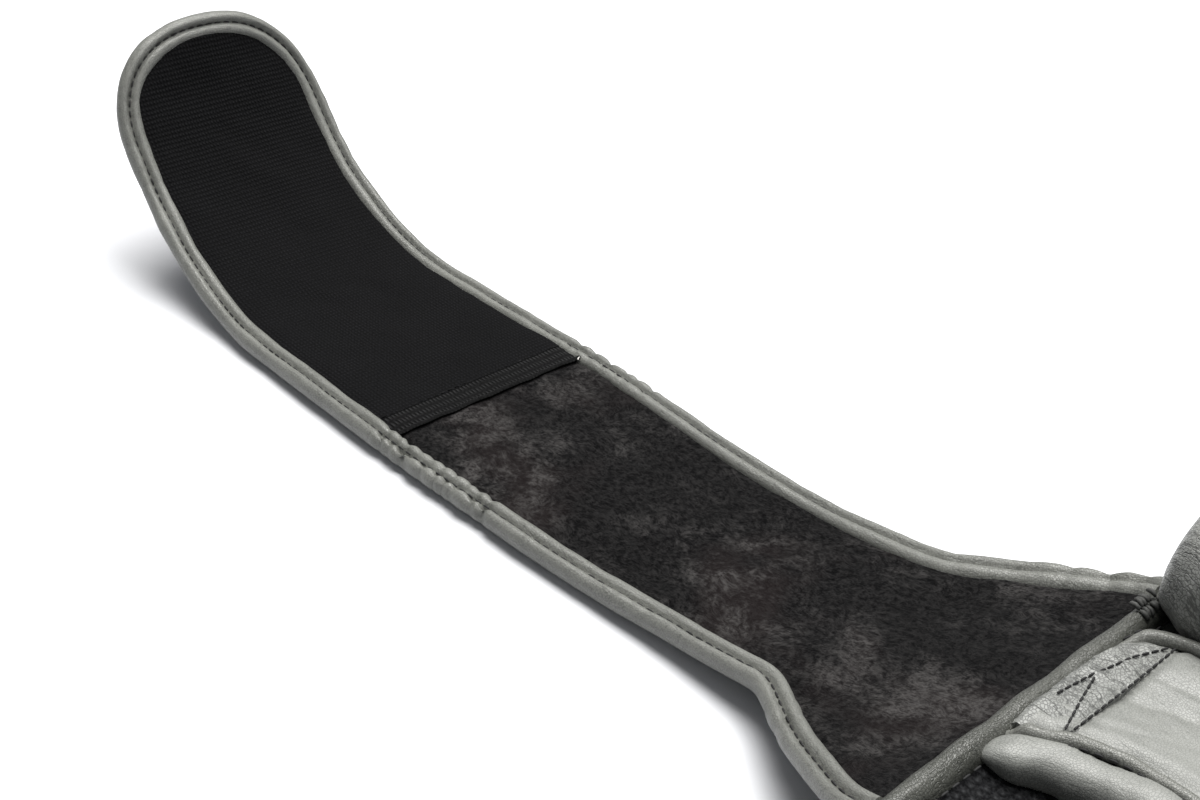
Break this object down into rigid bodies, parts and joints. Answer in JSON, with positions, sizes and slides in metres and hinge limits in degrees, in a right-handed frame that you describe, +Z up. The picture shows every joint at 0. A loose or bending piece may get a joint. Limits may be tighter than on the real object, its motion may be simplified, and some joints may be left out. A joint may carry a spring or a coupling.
{
  "type": "groin protector",
  "caption": "Padded leather groin protector with a hard cup, bound suede-lined waist straps with hook-and-loop tabs, and elastic leg straps.",
  "frame": {"origin": "bottom centre of the whole object, laid front face down with its straps out to the sides", "axes": "+X along the waist towards the right strap, +Y towards the abdomen, +Z up from the front face to the inner face"},
  "size_m": [0.9244, 0.3026, 0.0708],
  "materials": {
    "body_leather": "semi-gloss grained leather",
    "binding_leather": "fine-grained bound leather",
    "strap_leather": "smooth leather",
    "suede": "short-nap suede",
    "foam": "closed-cell foam",
    "hook_tape": "woven hook tape",
    "loop_tape": "brushed loop tape",
    "mesh": "open warp-knit mesh",
    "cup_plastic": "moulded, matt",
    "elastic": "ribbed woven elastic",
    "glide_plastic": "moulded, satin"
  },
  "bodies": {
    "body": {"outer_cover": "body_leather", "foam_core": "foam", "rim_binding": "binding_leather", "cup_shell": "cup_plastic", "cup_pad": "foam", "cup_rim": "body_leather", "cup_surround": "body_leather", "mesh_lining": "mesh", "channel_panel": "body_leather", "upper_piping": "body_leather", "lower_piping": "body_leather", "upper_bolster": "body_leather", "lower_roll": "body_leather", "left_patch": "body_leather", "right_patch": "body_leather", "crotch_tab": "body_leather"},
    "left_strap": {"left_strap_suede": "suede", "left_strap_core": "foam", "left_strap_leather": "strap_leather", "left_strap_binding": "binding_leather"},
    "left_tab": {"left_tab_hook_panel": "hook_tape", "left_tab_core": "foam", "left_tab_leather": "strap_leather", "left_tab_binding": "binding_leather"},
    "right_strap": {"right_strap_suede": "suede", "right_strap_core": "foam", "right_strap_leather": "strap_leather", "right_strap_binding": "binding_leather"},
    "right_tab": {"right_tab_suede": "suede", "right_tab_core": "foam", "right_tab_leather": "strap_leather", "right_tab_loop_panel": "loop_tape", "right_tab_binding": "binding_leather"},
    "left_leg_strap": {"left_leg_band": "elastic", "left_leg_hook_tab": "hook_tape"},
    "right_leg_strap": {"right_leg_band": "elastic", "right_leg_hook_tab": "hook_tape"},
    "left_glide": {"left_leg_glide": "glide_plastic"},
    "right_glide": {"right_leg_glide": "glide_plastic"}
  },
  "joints": [
    {"name": "left_strap_root", "type": "hinge", "parent": "body", "child": "left_strap", "pos_m": [-0.13025, 0.05925, 0.02496], "axis": [0, 1, 0], "range_deg": [0, 75]},
    {"name": "left_tab_fold", "type": "hinge", "parent": "left_strap", "child": "left_tab", "pos_m": [-0.308, 0.05925, 0.0067], "axis": [0, 1, 0], "range_deg": [0, 60]},
    {"name": "left_leg_root", "type": "hinge", "parent": "body", "child": "left_leg_strap", "pos_m": [-0.05225, -0.12885, 0.0048], "axis": [0, 1, 0], "range_deg": [0, 85]},
    {"name": "left_glide_slide", "type": "slide", "parent": "left_leg_strap", "child": "left_glide", "axis": [-1, 0, 0], "range_m": [-0.05, 0.05]},
    {"name": "right_strap_root", "type": "hinge", "parent": "body", "child": "right_strap", "pos_m": [0.13025, 0.05925, 0.02496], "axis": [0, -1, 0], "range_deg": [0, 75]},
    {"name": "right_tab_fold", "type": "hinge", "parent": "right_strap", "child": "right_tab", "pos_m": [0.308, 0.05925, 0.0067], "axis": [0, -1, 0], "range_deg": [0, 60]},
    {"name": "right_leg_root", "type": "hinge", "parent": "body", "child": "right_leg_strap", "pos_m": [0.05225, -0.12885, 0.0048], "axis": [0, -1, 0], "range_deg": [0, 85]},
    {"name": "right_glide_slide", "type": "slide", "parent": "right_leg_strap", "child": "right_glide", "axis": [1, 0, 0], "range_m": [-0.05, 0.05]}
  ]
}
